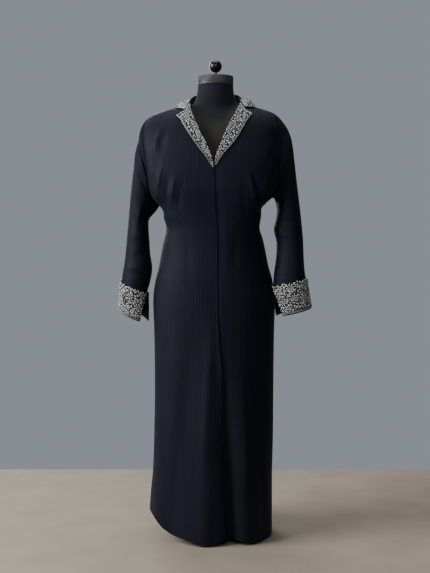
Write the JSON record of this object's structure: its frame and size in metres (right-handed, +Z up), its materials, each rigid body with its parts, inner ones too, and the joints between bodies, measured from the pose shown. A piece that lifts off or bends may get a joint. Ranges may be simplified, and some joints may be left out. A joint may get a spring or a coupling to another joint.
{
  "type": "abaya cloak on a dress form stand",
  "caption": "Long open-front abaya cloak with notched lapels, turned-back cuffs and hollow sleeves, hanging on a limbless dress form with neck cap, knob, pole and round foot.",
  "frame": {"origin": "centre of the underside of the round foot, which stands on the floor", "axes": "+Z up; the cloak's front faces -Y; +X is the wearer's left"},
  "size_m": [0.6366, 0.3751, 1.585],
  "materials": {
    "crepe": "matt self-striped ribbed crepe",
    "brocade": "scroll embroidery on a black ground",
    "form_jersey": "taut matt jersey",
    "cap_metal": "aged, brushed",
    "knob_lacquer": "gloss",
    "stand_steel": "satin"
  },
  "bodies": {
    "root": {"back": "crepe", "front_right": "crepe", "front_left": "crepe", "sleeve_right": "crepe", "sleeve_left": "crepe", "collar_stand": "crepe", "lapel_right": "brocade", "lapel_left": "brocade", "cuff_right": "brocade", "cuff_left": "brocade", "collar_fall": "brocade", "form_torso": "form_jersey", "neck_cap": "cap_metal", "knob": "knob_lacquer", "pole": "stand_steel", "foot": "stand_steel"}
  },
  "joints": []
}
